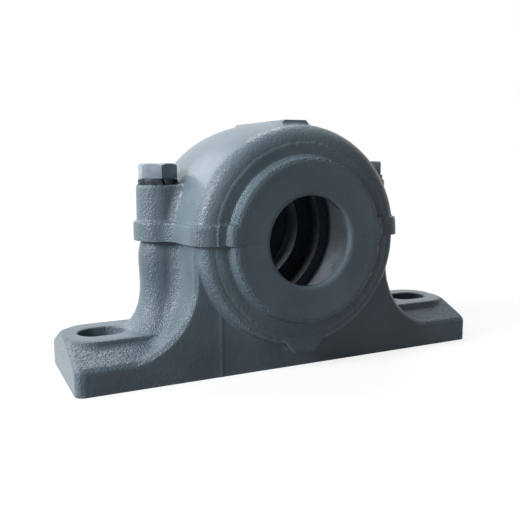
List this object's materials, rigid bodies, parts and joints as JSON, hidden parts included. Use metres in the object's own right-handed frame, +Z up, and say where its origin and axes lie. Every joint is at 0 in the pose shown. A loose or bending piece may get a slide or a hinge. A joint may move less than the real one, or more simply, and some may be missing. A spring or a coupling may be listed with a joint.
{
  "type": "split plummer block housing",
  "caption": "Split cast iron plummer block housing with slotted feet, a bolted cap, spring washers, dowel pins and an open bearing seat.",
  "frame": {"origin": "centre of the underside of the base", "axes": "+X along the feet, +Y along the shaft, +Z up"},
  "size_m": [0.205, 0.085, 0.1135],
  "materials": {
    "painted_casting": "satin blue-grey paint on a sand-cast surface",
    "bolt_steel": "dark steel under a thin coat of the housing's paint",
    "spring_steel": "dark oiled steel",
    "pin_steel": "ground steel",
    "plug_brass": "turned brass"
  },
  "bodies": {
    "base": {"housing_base": "painted_casting", "dowel_pin_left": "pin_steel", "dowel_pin_right": "pin_steel"},
    "cap": {"housing_cap": "painted_casting", "grease_plug": "plug_brass"},
    "bolt_left": {"cap_bolt_left": "bolt_steel", "spring_washer_left": "spring_steel"},
    "bolt_right": {"cap_bolt_right": "bolt_steel", "spring_washer_right": "spring_steel"}
  },
  "joints": [
    {"name": "cap_lift", "type": "slide", "parent": "base", "child": "cap", "axis": [0, 0, 1], "range_m": [0, 0.045]},
    {"name": "bolt_left_draw", "type": "slide", "parent": "cap", "child": "bolt_left", "axis": [0, 0, 1], "range_m": [0, 0.024]},
    {"name": "bolt_right_draw", "type": "slide", "parent": "cap", "child": "bolt_right", "axis": [0, 0, 1], "range_m": [0, 0.024]}
  ]
}
